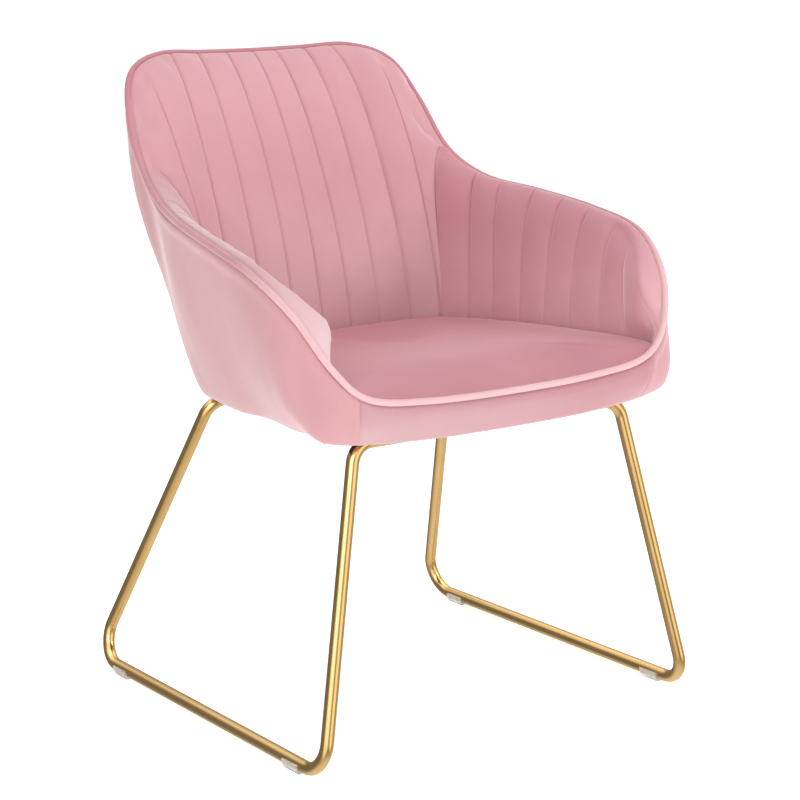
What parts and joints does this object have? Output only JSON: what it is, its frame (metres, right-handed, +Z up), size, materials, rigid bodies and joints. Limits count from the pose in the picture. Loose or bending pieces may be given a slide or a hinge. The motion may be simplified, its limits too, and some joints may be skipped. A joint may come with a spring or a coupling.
{
  "type": "upholstered tub armchair",
  "caption": "Tub armchair with channel-stitched velvet upholstery and welted rim, standing on a gold bent-tube sled base.",
  "frame": {"origin": "on the floor, under the centre of the chair's overall box", "axes": "+Z up, the front of the chair faces -Y, +X is the sitter's left"},
  "size_m": [0.5876, 0.602, 0.8267],
  "materials": {
    "velvet": "dusty pink velvet with a soft sheen",
    "welt_velvet": "the same velvet over a cord",
    "gold_tube": "polished gold-coloured plating on steel tube",
    "plywood": "raw moulded plywood, hidden",
    "zinc_steel": "zinc-plated steel",
    "black_cloth": "black non-woven cloth",
    "clear_plastic": "translucent clear plastic"
  },
  "bodies": {
    "root": {"seat_board": "plywood", "front_rail": "plywood", "back_shell": "plywood", "arm_shell_left": "plywood", "arm_shell_right": "plywood", "seat_pad": "velvet", "inside_back_pad": "velvet", "outside_back_cover": "velvet", "front_apron_cover": "velvet", "inside_arm_pad_left": "velvet", "inside_arm_pad_right": "velvet", "outside_arm_cover_left": "velvet", "outside_arm_cover_right": "velvet", "welt_cord": "welt_velvet", "dust_cover": "black_cloth", "sled_frame_left": "gold_tube", "glide_left_front": "clear_plastic", "tab_left_front_inner": "gold_tube", "washer_left_front_inner": "zinc_steel", "bolt_left_front_inner": "zinc_steel", "t_nut_left_front_inner": "zinc_steel", "tab_left_front_outer": "gold_tube", "washer_left_front_outer": "zinc_steel", "bolt_left_front_outer": "zinc_steel", "t_nut_left_front_outer": "zinc_steel", "glide_left_rear": "clear_plastic", "tab_left_rear_inner": "gold_tube", "washer_left_rear_inner": "zinc_steel", "bolt_left_rear_inner": "zinc_steel", "t_nut_left_rear_inner": "zinc_steel", "tab_left_rear_outer": "gold_tube", "washer_left_rear_outer": "zinc_steel", "bolt_left_rear_outer": "zinc_steel", "t_nut_left_rear_outer": "zinc_steel", "sled_frame_right": "gold_tube", "glide_right_front": "clear_plastic", "tab_right_front_inner": "gold_tube", "washer_right_front_inner": "zinc_steel", "bolt_right_front_inner": "zinc_steel", "t_nut_right_front_inner": "zinc_steel", "tab_right_front_outer": "gold_tube", "washer_right_front_outer": "zinc_steel", "bolt_right_front_outer": "zinc_steel", "t_nut_right_front_outer": "zinc_steel", "glide_right_rear": "clear_plastic", "tab_right_rear_inner": "gold_tube", "washer_right_rear_inner": "zinc_steel", "bolt_right_rear_inner": "zinc_steel", "t_nut_right_rear_inner": "zinc_steel", "tab_right_rear_outer": "gold_tube", "washer_right_rear_outer": "zinc_steel", "bolt_right_rear_outer": "zinc_steel", "t_nut_right_rear_outer": "zinc_steel"}
  },
  "joints": []
}
